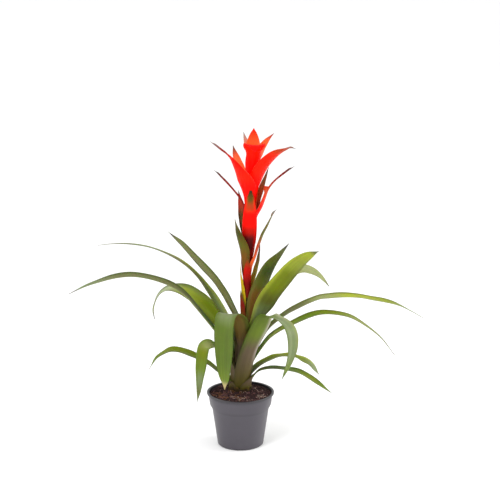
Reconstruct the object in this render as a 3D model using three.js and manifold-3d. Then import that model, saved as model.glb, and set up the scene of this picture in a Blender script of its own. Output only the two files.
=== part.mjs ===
import * as THREE from 'three';
import { mergeVertices } from 'three/addons/utils/BufferGeometryUtils.js';
import Module from 'manifold-3d';

// A guzmania in flower, growing in a plastic nursery pot. Sizes are in millimetres and +Z is up.
// The origin is the middle of the pot's underside. The front is -Y, and +X is to the right of it.

const wasm = await Module();
wasm.setup();

// The pot
const POT_HEIGHT = 97.6;
const LIP_RADIUS = 60;
const LIP_HEIGHT = 2.2;
const BAND_TOP_RADIUS = 57.6;
const BAND_FOOT_RADIUS = 54.8;
const BAND_FOOT_Z = 75.8;
const STEP_RADIUS = 50.7;
const STEP_Z = 68.3;
const BASE_RADIUS = 41;
const BASE_BEVEL = 2.2;
const POT_WALL = 1.5;
const FLOOR = 1.8;
const POT_SIDES = 36;
const DRAIN_COUNT = 6;
const DRAIN_RADIUS = 4;
const DRAIN_RING = 25;
const DRAIN_SIDES = 16;
const NOTCH_COUNT = 4;
const NOTCH_WIDTH = 16;
const NOTCH_HEIGHT = 2.6;

// The soil with a low mound round the plant, and the gap that separate pieces keep where they touch
const CLEARANCE = 0.35;
const SOIL_TOP = 94.6;
const SOIL_SINK = 0.6;
const SOIL_RELIEF = 0.75;
const SOIL_RINGS = 9;
const SOIL_BORDER = 8;
const MOUND_RISE = 6;
const MOUND_TOP = 20;
const MOUND_FOOT = 38;
const SOIL_WAVES = [
  { lobes: 3, length: 6, phase: 0, height: 1 },
  { lobes: 7, length: -4, phase: 1.3, height: 0.7 },
  { lobes: 11, length: 3, phase: 2, height: 0.5 },
];

// Where the plant's own heights start. It leans to the right about this point.
const PLANT_PLACE = [3.5, 12, 86.9];
const LEAN = THREE.MathUtils.degToRad(2.4);
const ROOT_DEPTH = 30;
const ROOT_RADIUS = 13;
const ROOT_SHOULDER = 0.6;
const CROWN_RISE = 26;
const SCAPE_RADIUS = 4.6;
const SCAPE_TOP = 411;
const SCAPE_POINT = 4;
const SCAPE_BENDS = [88, 105, 122, 140];
const STEM_SIDES = 24;

// The foot of the plant stands to the left of its flower stalk: it is moved by FOOT_SHIFT at the bottom, and
// not at all above the second height or outside the second reach.
const FOOT_SHIFT = -5.5;
const BEND_HEIGHTS = [10, 140];
const BEND_REACHES = [26, 70];

// Leaf sheaths are cones that stand ring inside ring round the stem, each starting a little higher than the
// last. The outer ones open the most.
const FIRST_RING_RADIUS = 19;
const FIRST_RING_Z = 15.2;
const RING_COUNT = 10;
const RING_RISE = 3.6;
const RING_SLOPES = [0.1, 0.04];
const LEAF_THICKNESS = 0.7;
const LEAF_FACETS = 6;
const LEAF_CUTS = 15;
const WIDEST_WRAP = 75;

// A leaf's sheath turns into its blade over the neck. Its line passes two shares of the sheath's height, and
// has gone a share of the way out to the blade at the second.
const LEAF_BOW = 24;
const SHEATH_POINTS = [0.4, 0.75];
const SHEATH_LEAVES = 0.15;
const LEAF_ROLL = [0.35, 1];
const LEAF_SWING = [0.08, 0.42];
const LEAF_SHAPE = [1, 1, 1, 0.97, 0.91, 0.78, 0.52, 0.02];
const NECK_SHARE = 1.3;
const NECK_LIMITS = [0.1, 0.45];
const SHEATH_START = 0.02;
const SHEATH_LEAST = 0.4;
const TIP_HALF_WIDTH = 0.55;

// Bracts leave the flower stalk one above another, and open outwards as steeply as their thickness needs.
// Some narrow down to a thread.
const FIRST_BRACT_Z = 118;
const BRACT_SPACING = 13;
const BRACT_THICKNESS = 0.62;
const BRACT_FACETS = 4;
const BRACT_CUTS = 10;
const BRACT_WRAP = 80;
const BRACT_SLOPE = 0.1;
const BRACT_BOW = 24;
const BRACT_SWING = [0.4, 1];
const BRACT_SHAPE = [0.8, 0.88, 0.96, 1, 1, 0.94, 0.8, 0.58, 0.3, 0.02];
const BRACT_LOW_POINT = 0.45;
const OPENING_LENGTH = 0.2;
const THREAD_HALF_WIDTH = 1.6;
const THREAD_RUN = 0.08;
const NOWHERE = 9;
const STALK_BRACTS = 7;

const FINISHES = {
  pot: { color: 0x5b585f, roughness: 0.5 },
  soil: { color: 0x3f2b26, roughness: 0.95 },
  stem: { color: 0x7a4a2c, roughness: 0.6 },
  leaf: { color: 0x6d7c2e, roughness: 0.42 },
  stalkBract: { color: 0x6f4a22, roughness: 0.4 },
  redBract: { color: 0xf0301a, roughness: 0.4 },
};

// How finely a blade's middle line is measured before it's cut
const PATH_SAMPLES = 240;
const LENGTH_DIVISIONS = 400;

// Leaves, from the outermost ring inwards. `turn` is the direction that a leaf starts in, in degrees: 0 is
// to the right, 90 to the back, 180 to the left and 270 to the front. It swings round by `swing` degrees on
// its way out. `wrap` is how far round the stem its sheath reaches to either side, in degrees. `width` is the
// width of its blade, and `shape` the share of it at even steps from neck to tip. It rolls over by `twist`
// degrees between the two places of `roll`. `bow` is the radius of its gutter, which it only reaches from
// `opens` on. `line` is the middle of its upper face as [reach from the plant's axis, height], from where it
// leaves its sheath. Places along a leaf are shares of its length.
const LEAVES = [
  { name: 'leaf_left_low', turn: 175, ring: 0, wrap: 75, width: 21, twist: -14, roll: [0.2, 0.6],
    line: [[24, 26], [35, 36], [50, 46], [64, 55], [79, 62], [94, 69], [108, 74], [123, 76], [135, 75],
      [148, 67], [160, 56], [171, 36]] },
  { name: 'leaf_right_low', turn: 345, ring: 0, wrap: 75, width: 20, twist: 10, roll: [0.4, 0.8],
    line: [[23, 37], [32, 49], [47, 56], [67, 58.5], [85, 58.5], [103, 56], [122, 49], [141, 38],
      [163, 25]] },
  { name: 'leaf_right_twisted', turn: 20, ring: 2, wrap: 56, width: 20, twist: 36, roll: [0.45, 0.9],
    shape: [1, 1, 1, 0.9, 0.84, 0.84, 0.74, 0.04],
    line: [[22, 44], [34, 55], [46, 62], [59, 67], [76, 69], [94, 67], [112, 59], [129, 49],
      [148, 27]] },
  { name: 'leaf_left_hanging', turn: 203, ring: 2, wrap: 60, width: 22, twist: -62, roll: [0.36, 0.58],
    shape: [0.74, 0.92, 1, 0.98, 0.96, 0.85, 0.6, 0.35, 0.02],
    line: [[22, 60], [31, 74], [45, 89], [58, 98], [70, 101], [77, 98], [80, 89], [82, 65], [84, 37],
      [85, 15], [87, -5]] },
  { name: 'leaf_right_drooping', turn: 8, ring: 3, wrap: 48, width: 24, twist: 12, roll: [0.1, 0.5],
    swing: -18, shape: [0.9, 1, 1, 1, 0.92, 0.66, 0.44, 0.28, 0.12, 0.06],
    line: [[21, 66], [31, 87], [45, 110], [62, 126], [79, 138], [97, 149], [114, 158], [132, 165],
      [149, 168], [167, 168], [185, 165], [203, 157], [240, 133], [268, 101]] },
  { name: 'leaf_back_low', turn: 104, ring: 1, wrap: 46, width: 24,
    line: [[22.5, 50], [36, 75], [58, 94], [88, 103], [120, 100], [150, 86], [176, 64]] },
  { name: 'leaf_right_long', turn: 12, ring: 4, wrap: 62, width: 22, twist: 9, roll: [0.1, 0.5],
    swing: -12, shape: [0.75, 0.9, 1, 1, 1, 1, 0.92, 0.8, 0.68, 0.2, 0.04],
    line: [[20, 70], [28, 97], [41, 125], [61, 146], [78, 160], [95, 170], [112, 179], [130, 187],
      [147, 190], [165, 192], [200, 192], [218, 190], [245, 186], [272, 179], [294, 169], [316, 157]] },
  { name: 'leaf_left_long', turn: 185, ring: 4, wrap: 75, width: 25, twist: -7, roll: [0.1, 0.5],
    shape: [1, 1, 1, 1, 1, 1, 0.95, 0.8, 0.5, 0.04],
    line: [[19, 62], [28, 82], [40, 101], [54, 119], [71, 140], [90, 163], [108, 183], [126, 197],
      [144, 206], [170, 214], [196, 218], [214, 218], [240, 214], [265, 206], [283, 199], [301, 190],
      [314, 183]] },
  { name: 'leaf_front_right', turn: 285, ring: 1, wrap: 54, width: 42, bow: 40, twist: -8,
    roll: [0.2, 0.42], swing: 24, shape: [0.84, 0.95, 0.95, 0.82, 0.7, 0.66, 0.64, 0.54, 0.34, 0.02],
    line: [[23.5, 72], [27.5, 92], [35.5, 117], [46, 143], [55, 160], [65, 165.5], [78, 164.5],
      [91, 165], [106, 163], [118, 157], [126, 145], [128.5, 122], [124.5, 101], [118, 83],
      [106, 60]] },
  { name: 'leaf_back_right', turn: 90, ring: 3, wrap: 30, width: 18,
    line: [[18.8, 62], [23.5, 84], [33, 104], [48, 117], [68, 122], [92, 119], [114, 110]] },
  { name: 'leaf_left_broad', turn: 153, ring: 5, wrap: 52, width: 41, twist: -24, roll: [0.15, 0.65],
    shape: [1, 1, 1, 1, 0.95, 0.8, 0.56, 0.44, 0.46, 0.1],
    line: [[16.2, 74], [24.5, 91], [40, 107], [56, 123], [73, 140], [90, 155], [107, 164], [124, 172],
      [140, 175], [157, 173], [171, 165], [181, 153], [187, 139], [189, 124], [186, 110]] },
  { name: 'leaf_right_behind', turn: 45, ring: 5, wrap: 52, width: 21, twist: 58, roll: [0.3, 0.85],
    shape: [1, 0.9, 0.85, 0.85, 0.85, 0.85, 0.8, 0.6, 0.1],
    line: [[17.6, 92], [29, 126], [46, 155], [66, 180], [88, 199], [113, 210], [138, 213], [160, 207],
      [183, 196], [202, 182], [218, 166]] },
  { name: 'leaf_left_upper', turn: 164, ring: 6, wrap: 60, width: 38, swing: 5,
    shape: [0.8, 1, 0.92, 0.66, 0.44, 0.3, 0.22, 0.18, 0.14, 0.02],
    line: [[16, 96], [25, 112], [41, 138], [54, 160], [68, 183], [88, 210], [113, 232], [140, 247],
      [178, 258], [220, 261], [250, 258], [275, 253]] },
  { name: 'leaf_front_broad', turn: 237, ring: 7, wrap: 70, width: 44, bow: 150, twist: 8,
    roll: [0.2, 0.5], opens: 0.25, shape: [0.9, 0.98, 0.98, 1, 1, 0.98, 0.92, 0.76, 0.5, 0.02],
    line: [[14.8, 104], [19.8, 127], [31, 150], [47, 162], [58, 165], [65, 161], [67.5, 150], [68, 129],
      [67, 101], [65, 73], [62, 48], [57.5, 25]] },
  { name: 'leaf_back_upper', turn: 84, ring: 7, wrap: 62, width: 24,
    line: [[15, 118], [27, 146], [44, 166], [68, 178], [96, 176], [120, 160]] },
  { name: 'leaf_right_broad', turn: 318, ring: 8, wrap: 66, width: 35, bow: 50, twist: -42,
    roll: [0.25, 0.5], shape: [0.74, 0.82, 0.97, 1, 0.97, 0.94, 0.88, 0.74, 0.52, 0.02],
    line: [[13, 110], [22.5, 136], [36.5, 165], [50, 191], [64.5, 211], [81, 232], [99, 253],
      [119, 274], [139, 289], [158, 299]] },
  { name: 'leaf_left_top', turn: 158, ring: 8, wrap: 75, width: 21, twist: -12, roll: [0.2, 0.7],
    line: [[14, 130], [21.3, 147], [31, 163], [41, 180], [52, 194], [62, 205], [82, 223], [92, 232],
      [112, 249], [132, 266], [156, 282]] },
  { name: 'leaf_right_top', turn: 335, ring: 9, wrap: 75, width: 30, bow: 32, twist: -42,
    roll: [0.35, 0.65], shape: [1, 1, 1, 0.97, 0.88, 0.74, 0.52, 0.26, 0.03],
    line: [[12.5, 138], [14.2, 160], [17, 180], [26, 207], [35, 231], [46, 253], [60, 271],
      [76, 292]] },
];

// Bracts, from the lowest up. Values that leaves have too mean the same here, but `shape` covers the whole
// length, and `line` starts where the bract leaves the stalk's cone. `thread` is where it has narrowed down to
// a thread.
const BRACTS = [
  { turn: 215, width: 17,
    line: [[9, 150], [11, 178], [12, 198]] },
  { turn: 80, width: 17,
    line: [[9, 162], [11, 190], [12.5, 212]] },
  { turn: 330, width: 16,
    line: [[9.8, 175], [13.5, 205], [16, 221]] },
  { turn: 186, width: 21,
    line: [[10.5, 203], [12.5, 221], [13.2, 233], [14, 247]] },
  { turn: 20, width: 20,
    line: [[10, 205], [16, 230], [19.5, 254], [20, 268], [20.5, 282]] },
  { turn: 264, width: 15,
    line: [[10, 215], [12.5, 240], [15, 262]] },
  { turn: 120, width: 20,
    line: [[11, 235], [15, 262], [19, 286]] },
  { turn: 215, wrap: 64, width: 33, shape: [0.8, 0.9, 1, 1, 1, 1, 0.95, 0.8, 0.5, 0.2, 0.03],
    line: [[11.5, 250], [15.5, 271], [21, 289], [25.5, 306], [29.5, 319], [32, 328]] },
  { turn: 345, width: 24, twist: -12, roll: [0.2, 0.6], thread: 0.9,
    shape: [0.9, 0.9, 0.8, 0.68, 0.62, 0.58, 0.5, 0.38, 0.2, 0.02],
    line: [[13, 258], [18, 280], [23, 297], [30, 314], [37, 330], [46.5, 348]] },
  { turn: 90, width: 24,
    line: [[13, 275], [18, 305], [25, 328], [34, 345]] },
  { turn: 267, width: 30, shape: [0.8, 0.9, 1, 1, 1, 0.95, 0.85, 0.68, 0.44, 0.12],
    line: [[12.5, 285], [16, 320], [18, 345], [20, 380]] },
  { turn: 140, width: 27,
    line: [[12.5, 294], [18, 316], [21.5, 337], [24.5, 355], [29, 371]] },
  { turn: 185, width: 27, thread: 0.5,
    line: [[11.5, 330], [15.5, 354], [24.5, 367], [34, 378], [44.5, 389], [55.5, 400], [66, 411]] },
  { turn: 356, width: 33, thread: 0.64, shape: [0.62, 0.68, 0.76, 0.94, 1, 0.94, 0.8, 0.58, 0.3, 0.02],
    line: [[12, 330], [20, 347], [26, 366], [30, 379], [35.5, 388.5], [43.5, 398], [56, 409],
      [72.5, 423]] },
  { turn: 44, width: 16,
    line: [[11.5, 335], [16, 353], [22.5, 371], [29, 387], [35, 401], [40, 413]] },
  { turn: 88, width: 24,
    line: [[12, 345], [17, 368], [28, 388], [42, 402], [56, 412]] },
  { turn: 240, wrap: 74, width: 40, swing: -24, thread: 0.82,
    shape: [0.7, 0.85, 0.95, 1, 0.97, 0.8, 0.54, 0.32, 0.18, 0.06, 0.02],
    line: [[9.8, 350], [13, 366], [23, 388], [35.5, 409], [44, 424], [52, 437], [59, 445], [69, 452],
      [80, 461], [91, 470]] },
  { turn: 312, width: 38, twist: -16, roll: [0.4, 0.8], swing: 12, thread: 0.93,
    shape: [0.7, 0.85, 0.95, 1, 1, 0.98, 0.9, 0.76, 0.54, 0.22, 0.02],
    line: [[8.2, 355], [11.5, 379], [18.5, 399], [27, 417], [37, 432], [48.5, 445], [59, 454],
      [70, 460], [79.5, 463], [89, 463]] },
  { turn: 142, width: 31, shape: [0.8, 0.9, 1, 1, 1, 0.95, 0.85, 0.65, 0.35, 0.03],
    line: [[10.2, 366], [16, 379], [24.5, 396], [31, 411], [36, 425], [40, 437], [44, 449]] },
  { turn: 275, width: 43, bow: 50, opens: 0.62,
    shape: [0.8, 0.9, 1, 1, 0.92, 0.76, 0.66, 0.9, 0.75, 0.03],
    line: [[11, 405], [14, 435], [18, 454], [24, 461], [32, 460], [39, 452]] },
  { turn: 42, width: 26,
    line: [[9.3, 418], [15.5, 437], [22.5, 451], [31, 461], [40, 468], [47.5, 473]] },
  { turn: 140, width: 24,
    line: [[9, 430], [13.5, 449], [18, 463], [23, 476]] },
  { turn: 90, width: 28, opens: 0.5, shape: [0.8, 0.88, 0.96, 1, 1, 0.96, 0.86, 0.68, 0.4, 0.02],
    line: [[6, 430], [8, 450], [9, 466], [8, 484]] },
];

const UP = new THREE.Vector3(0, 0, 1);
const radians = THREE.MathUtils.degToRad;
const { clamp, smoothstep, lerp } = THREE.MathUtils;

function part(name, geometry, finish) {
  const mesh = new THREE.Mesh(geometry, new THREE.MeshStandardMaterial({ ...finish, metalness: 0 }));
  mesh.name = name;
  return mesh;
}

function turned(profile, sides) {
  const points = profile.map(([radius, z]) => new THREE.Vector2(radius, z));
  return new THREE.LatheGeometry(points, sides).rotateX(Math.PI / 2);
}

function solidOf(geometry) {
  const bare = geometry.clone();
  bare.deleteAttribute('normal');
  bare.deleteAttribute('uv');
  const merged = mergeVertices(bare, 1e-4);
  const corners = Array.from(merged.index.array);
  const faces = [];
  for (let i = 0; i < corners.length; i += 3) {
    const [a, b, c] = corners.slice(i, i + 3);
    if (a !== b && b !== c && c !== a) faces.push(a, b, c);
  }
  const vertProperties = new Float32Array(merged.attributes.position.array);
  return new wasm.Manifold(new wasm.Mesh({ numProp: 3, vertProperties, triVerts: new Uint32Array(faces) }));
}

function geometryOf(solid) {
  const { vertProperties, triVerts } = solid.getMesh();
  const geometry = new THREE.BufferGeometry();
  geometry.setAttribute('position', new THREE.BufferAttribute(new Float32Array(vertProperties), 3));
  geometry.setIndex(new THREE.BufferAttribute(new Uint32Array(triVerts), 1));
  return geometry;
}

// How far the middle of a facet lies inside the arc that its ends are on
function sagitta(radius, facetDegrees) {
  return radius * (1 - Math.cos(radians(facetDegrees) / 2));
}

// The radius of each sheath's inner face at its foot, how much it widens upwards, and the stem's radius there
const rings = [];
let ringRadius = FIRST_RING_RADIUS;
for (let i = 0; i < RING_COUNT; i += 1) {
  const dip = sagitta(ringRadius, 2 * WIDEST_WRAP / LEAF_FACETS);
  const slope = lerp(...RING_SLOPES, i / (RING_COUNT - 1));
  const z = FIRST_RING_Z + i * RING_RISE;
  rings.push({ radius: ringRadius, slope, z, stem: ringRadius - dip - CLEARANCE });
  ringRadius += slope * RING_RISE - LEAF_THICKNESS - CLEARANCE - dip;
}

// The value at a share of the way through even steps, along a smooth curve
function stepped(values, share) {
  const place = clamp(share, 0, 1) * (values.length - 1);
  const first = Math.min(Math.floor(place), values.length - 2);
  const t = place - first;
  const before = values[Math.max(first - 1, 0)];
  const [start, end] = values.slice(first, first + 2);
  const after = values[Math.min(first + 2, values.length - 1)];
  const bend = 2 * before - 5 * start + 4 * end - after;
  const twirl = 3 * start - before - 3 * end + after;
  return start + (end - before) * t / 2 + bend * t ** 2 / 2 + twirl * t ** 3 / 2;
}

// Moves the foot of a piece of the plant over to the left
function bent(geometry) {
  const place = geometry.attributes.position;
  for (let i = 0; i < place.count; i += 1) {
    const [x, y, z] = [place.getX(i), place.getY(i), place.getZ(i)];
    const low = 1 - smoothstep(z, ...BEND_HEIGHTS);
    const near = 1 - smoothstep(Math.hypot(x, y), ...BEND_REACHES);
    place.setX(i, x + FOOT_SHIFT * low * near);
  }
  return geometry;
}

// One leaf or bract, grown in its own upright plane. Each cut across it is an arc: round the stem where the
// blade wraps it, and a shallow gutter further out. Between two cuts, both faces have the same triangles, whose
// slanting edges lead away from the middle. That keeps a narrowing sheath round.
function blade({
  path, halfWidthAt, turn, wrap, bow, opens = NOWHERE, twist = 0, roll, swing = 0, swings,
  thickness, facets, cuts,
}) {
  const fine = [];
  for (let i = 0; i <= PATH_SAMPLES; i += 1) fine.push(path.at(i / PATH_SAMPLES));
  const headings = fine.map((point, i) => {
    const before = fine[Math.max(i - 1, 0)];
    const after = fine[Math.min(i + 1, PATH_SAMPLES)];
    return Math.atan2(after.x - before.x, after.y - before.y);
  });

  // Cuts lie closer together where the blade bends
  const steps = fine.map((point, i) => (i === 0 ? 0 : point.distanceTo(fine[i - 1])));
  const turns = headings.map((heading, i) => (i === 0 ? 0 : Math.abs(heading - headings[i - 1])));
  const length = steps.reduce((sum, step) => sum + step, 0);
  const bend = turns.reduce((sum, turn) => sum + turn, 0);
  const effort = [0];
  const travelled = [0];
  for (let i = 1; i <= PATH_SAMPLES; i += 1) {
    effort.push(effort[i - 1] + steps[i] / length + turns[i] / bend);
    travelled.push(travelled[i - 1] + steps[i] / length);
  }

  const positions = [];
  let sample = 0;
  for (let cut = 0; cut <= cuts; cut += 1) {
    const target = cut / cuts * effort[PATH_SAMPLES] - 1e-9;
    while (sample < PATH_SAMPLES && effort[sample] < target) sample += 1;
    const heading = headings[sample];
    const along = travelled[sample];
    const middle = new THREE.Vector3(fine[sample].x, 0, fine[sample].y);
    const tangent = new THREE.Vector3(Math.sin(heading), 0, Math.cos(heading));
    const inward = new THREE.Vector3(-Math.cos(heading), 0, Math.sin(heading));
    const across = new THREE.Vector3(0, 1, 0);
    const rolled = radians(twist) * smoothstep(along, ...roll);
    for (const direction of [inward, across]) direction.applyAxisAngle(tangent, rolled);
    const swung = radians(turn + swing * smoothstep(along, ...swings));
    const opened = bow * smoothstep(along, opens, opens + OPENING_LENGTH);
    const radius = Math.min(Math.max(middle.x, opened), bow);
    const spread = Math.min(halfWidthAt(along) / radius, radians(wrap));
    for (const [face, arc] of [[0, radius], [1, radius + thickness]]) {
      for (let i = 0; i <= facets; i += 1) {
        const side = face === 0 ? i : facets - i;
        const angle = spread * (2 * side / facets - 1);
        const point = middle.clone().addScaledVector(inward, radius - arc * Math.cos(angle));
        point.addScaledVector(across, arc * Math.sin(angle)).applyAxisAngle(UP, swung);
        positions.push(point.x, point.y, point.z);
      }
    }
  }

  const around = 2 * (facets + 1);
  const index = [];
  for (let cut = 0; cut < cuts; cut += 1) {
    for (let i = 0; i < around; i += 1) {
      const a = cut * around + i;
      const b = cut * around + (i + 1) % around;
      if (i % (facets + 1) < facets / 2) index.push(a, a + around, b, b, a + around, b + around);
      else index.push(a, b + around, b, a, a + around, b + around);
    }
  }
  for (const [cut, atFoot] of [[0, true], [cuts, false]]) {
    for (let i = 0; i < facets; i += 1) {
      const a = cut * around + i;
      const d = cut * around + around - 1 - i;
      if (atFoot) index.push(a, a + 1, d - 1, a, d - 1, d);
      else index.push(a, d - 1, a + 1, a, d, d - 1);
    }
  }
  const geometry = new THREE.BufferGeometry();
  geometry.setAttribute('position', new THREE.Float32BufferAttribute(positions, 3));
  geometry.setIndex(index);
  return bent(geometry);
}

// A smooth line through [reach, height] points that never comes nearer the axis than `least(height)`
function smoothPath(points, least) {
  const knots = points.map(([reach, height]) => new THREE.Vector3(reach, height, 0));
  const curve = new THREE.CatmullRomCurve3(knots);
  curve.arcLengthDivisions = LENGTH_DIVISIONS;
  const at = (t) => {
    const point = curve.getPointAt(t);
    return new THREE.Vector2(Math.max(point.x, least(point.y)), point.y);
  };
  return { at, length: curve.getLength() };
}

function leaf(spec) {
  const { name, ring, wrap, width, line } = spec;
  const { radius, slope, z } = rings[ring];
  const [firstReach, firstHeight] = line[0];
  const cone = (height) => radius + slope * (height - z);
  const [low, high] = SHEATH_POINTS.map((share) => lerp(z, firstHeight, share));
  const upright = [[radius, z], [cone(low), low], [lerp(cone(high), firstReach, SHEATH_LEAVES), high]];
  const path = smoothPath([...upright, ...line], (height) => (height < firstHeight ? cone(height) : 0));
  const sheathHalf = Math.max(radius * radians(wrap), SHEATH_LEAST * width);
  const neck = clamp(NECK_SHARE * (firstHeight - z) / path.length, ...NECK_LIMITS);
  const halfWidthAt = (along) => {
    const bladeHalf = width / 2 * stepped(spec.shape ?? LEAF_SHAPE, (along - neck) / (1 - neck));
    const sheath = 1 - smoothstep(along, SHEATH_START, neck);
    return Math.max(lerp(bladeHalf, sheathHalf, sheath), TIP_HALF_WIDTH);
  };
  const geometry = blade({ bow: LEAF_BOW, roll: LEAF_ROLL, swings: LEAF_SWING, ...spec, path, halfWidthAt,
    thickness: LEAF_THICKNESS, facets: LEAF_FACETS, cuts: LEAF_CUTS });
  return part(name, geometry, FINISHES.leaf);
}

const bractRoot = SCAPE_RADIUS + CLEARANCE + sagitta(SCAPE_RADIUS + 1, 2 * BRACT_WRAP / BRACT_FACETS);

function bract(spec, order) {
  const { width, thread = NOWHERE, line } = spec;
  const foot = FIRST_BRACT_Z + order * BRACT_SPACING;
  const cone = (height) => bractRoot + BRACT_SLOPE * (height - foot);
  const low = lerp(foot, line[0][1], BRACT_LOW_POINT);
  const path = smoothPath([[bractRoot, foot], [cone(low), low], ...line], cone);
  const halfWidthAt = (along) => {
    const half = width / 2 * stepped(spec.shape ?? BRACT_SHAPE, along);
    const thin = smoothstep(along, thread - THREAD_RUN, thread);
    return Math.max(lerp(half, Math.min(half, THREAD_HALF_WIDTH), thin), TIP_HALF_WIDTH);
  };
  const geometry = blade({ bow: BRACT_BOW, roll: LEAF_ROLL, swings: BRACT_SWING, wrap: BRACT_WRAP, ...spec,
    path, halfWidthAt, thickness: BRACT_THICKNESS, facets: BRACT_FACETS, cuts: BRACT_CUTS });
  const name = `bract_${String(order + 1).padStart(2, '0')}`;
  return part(name, geometry, order < STALK_BRACTS ? FINISHES.stalkBract : FINISHES.redBract);
}

function stem() {
  const profile = [[0, -ROOT_DEPTH], [ROOT_RADIUS, -ROOT_DEPTH], [ROOT_RADIUS, FIRST_RING_Z - ROOT_SHOULDER]];
  for (const ring of rings) profile.push([ring.stem, ring.z]);
  profile.push([SCAPE_RADIUS, rings[RING_COUNT - 1].z + CROWN_RISE]);
  for (const z of SCAPE_BENDS) profile.push([SCAPE_RADIUS, z]);
  profile.push([SCAPE_RADIUS, SCAPE_TOP - SCAPE_POINT], [0, SCAPE_TOP]);
  return part('stem', bent(turned(profile, STEM_SIDES)), FINISHES.stem);
}

function potOutline() {
  const lipFoot = POT_HEIGHT - LIP_HEIGHT;
  const outside = [
    [BASE_RADIUS - BASE_BEVEL, 0],
    [BASE_RADIUS, BASE_BEVEL],
    [STEP_RADIUS, STEP_Z],
    [BAND_FOOT_RADIUS, BAND_FOOT_Z],
    [BAND_TOP_RADIUS, lipFoot],
    [LIP_RADIUS, lipFoot],
    [LIP_RADIUS, POT_HEIGHT],
  ];
  const inside = [
    [BAND_TOP_RADIUS - POT_WALL, POT_HEIGHT],
    [BAND_FOOT_RADIUS - POT_WALL, BAND_FOOT_Z],
    [STEP_RADIUS - POT_WALL, STEP_Z],
    [BASE_RADIUS - POT_WALL, FLOOR],
  ];
  return { outside, inside };
}

function pot() {
  const { outside, inside } = potOutline();
  let solid = solidOf(turned([[0, 0], ...outside, ...inside, [0, FLOOR]], POT_SIDES));
  for (let i = 0; i < DRAIN_COUNT; i += 1) {
    const angle = (i + 0.5) / DRAIN_COUNT * 2 * Math.PI;
    const drill = new THREE.CylinderGeometry(DRAIN_RADIUS, DRAIN_RADIUS, 4 * FLOOR, DRAIN_SIDES);
    drill.rotateX(Math.PI / 2).translate(DRAIN_RING * Math.cos(angle), DRAIN_RING * Math.sin(angle), 0);
    solid = solid.subtract(solidOf(drill));
  }
  for (let i = 0; i < NOTCH_COUNT; i += 1) {
    const depth = 3 * BASE_BEVEL;
    const cutter = new THREE.BoxGeometry(depth, NOTCH_WIDTH, 2 * NOTCH_HEIGHT).translate(BASE_RADIUS, 0, 0);
    cutter.rotateZ(-Math.PI / 2 + i / NOTCH_COUNT * 2 * Math.PI);
    solid = solid.subtract(solidOf(cutter));
  }
  return part('pot', geometryOf(solid), FINISHES.pot);
}

function plantFrame() {
  const group = new THREE.Group();
  group.position.set(...PLANT_PLACE);
  group.rotation.y = LEAN;
  group.updateMatrixWorld(true);
  return group;
}

// The mound, and low rolling lumps that fade out near the plant and near the pot's wall
function soilHeight(x, y, edge) {
  const radius = Math.hypot(x, y);
  const angle = Math.atan2(y, x);
  let lumps = 0;
  for (const { lobes, length, phase, height } of SOIL_WAVES) {
    lumps += height * Math.sin(lobes * angle + radius / length + phase);
  }
  const nearWall = smoothstep(radius, edge - SOIL_BORDER, edge);
  const fromPlant = Math.hypot(x - PLANT_PLACE[0] - FOOT_SHIFT, y - PLANT_PLACE[1]);
  const mound = MOUND_RISE * (1 - smoothstep(fromPlant, MOUND_TOP, MOUND_FOOT)) * (1 - nearWall);
  const clear = smoothstep(fromPlant, MOUND_TOP, MOUND_FOOT) * (1 - nearWall);
  return SOIL_TOP + mound - SOIL_SINK * (1 + nearWall) + SOIL_RELIEF * lumps * clear;
}

function soil() {
  const { inside } = potOutline();
  const [rim, bandFoot, step, floor] = inside;
  const surface = SOIL_TOP - 2 * SOIL_SINK;
  const bandShare = (surface - bandFoot[1]) / (rim[1] - bandFoot[1]);
  const edge = lerp(bandFoot[0], rim[0], bandShare) - CLEARANCE;
  const foot = FLOOR + CLEARANCE;
  const wall = [[floor[0], foot], step, bandFoot].map(([radius, z]) => [radius - CLEARANCE, z]);
  const top = [];
  for (let i = SOIL_RINGS; i > 0; i -= 1) top.push([edge * i / SOIL_RINGS, surface]);
  const geometry = turned([[0, foot], ...wall, ...top, [0, surface]], POT_SIDES);
  const place = geometry.attributes.position;
  for (let i = 0; i < place.count; i += 1) {
    if (place.getZ(i) > surface - 1e-3) place.setZ(i, soilHeight(place.getX(i), place.getY(i), edge));
  }
  const holeRadius = ROOT_RADIUS + CLEARANCE;
  const hole = new THREE.CylinderGeometry(holeRadius, holeRadius, 2 * ROOT_DEPTH, STEM_SIDES);
  hole.rotateX(Math.PI / 2).translate(FOOT_SHIFT, 0, -CLEARANCE).applyMatrix4(plantFrame().matrixWorld);
  return part('soil', geometryOf(solidOf(geometry).subtract(solidOf(hole))), FINISHES.soil);
}

const plant = plantFrame();
plant.add(stem());
for (const shape of LEAVES) plant.add(leaf(shape));
BRACTS.forEach((shape, order) => plant.add(bract(shape, order)));

const pottedPlant = new THREE.Group();
pottedPlant.add(pot(), soil(), plant);

export default pottedPlant;
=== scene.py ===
import math
import random

import bmesh
import bpy
from mathutils import Matrix, Vector, noise


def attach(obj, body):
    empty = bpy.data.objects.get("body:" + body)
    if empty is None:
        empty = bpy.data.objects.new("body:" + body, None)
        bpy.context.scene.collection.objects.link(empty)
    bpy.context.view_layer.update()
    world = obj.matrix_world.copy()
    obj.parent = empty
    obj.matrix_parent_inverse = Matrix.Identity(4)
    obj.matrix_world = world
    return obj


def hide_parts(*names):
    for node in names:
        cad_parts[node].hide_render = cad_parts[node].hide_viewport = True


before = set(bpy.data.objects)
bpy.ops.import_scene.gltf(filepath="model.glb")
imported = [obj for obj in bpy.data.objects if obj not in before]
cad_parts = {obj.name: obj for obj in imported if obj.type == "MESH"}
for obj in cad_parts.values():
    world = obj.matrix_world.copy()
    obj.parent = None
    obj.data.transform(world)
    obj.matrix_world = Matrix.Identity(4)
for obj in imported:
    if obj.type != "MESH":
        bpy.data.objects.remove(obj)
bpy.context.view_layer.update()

MM = 0.001
UP = Vector((0, 0, 1))

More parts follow.
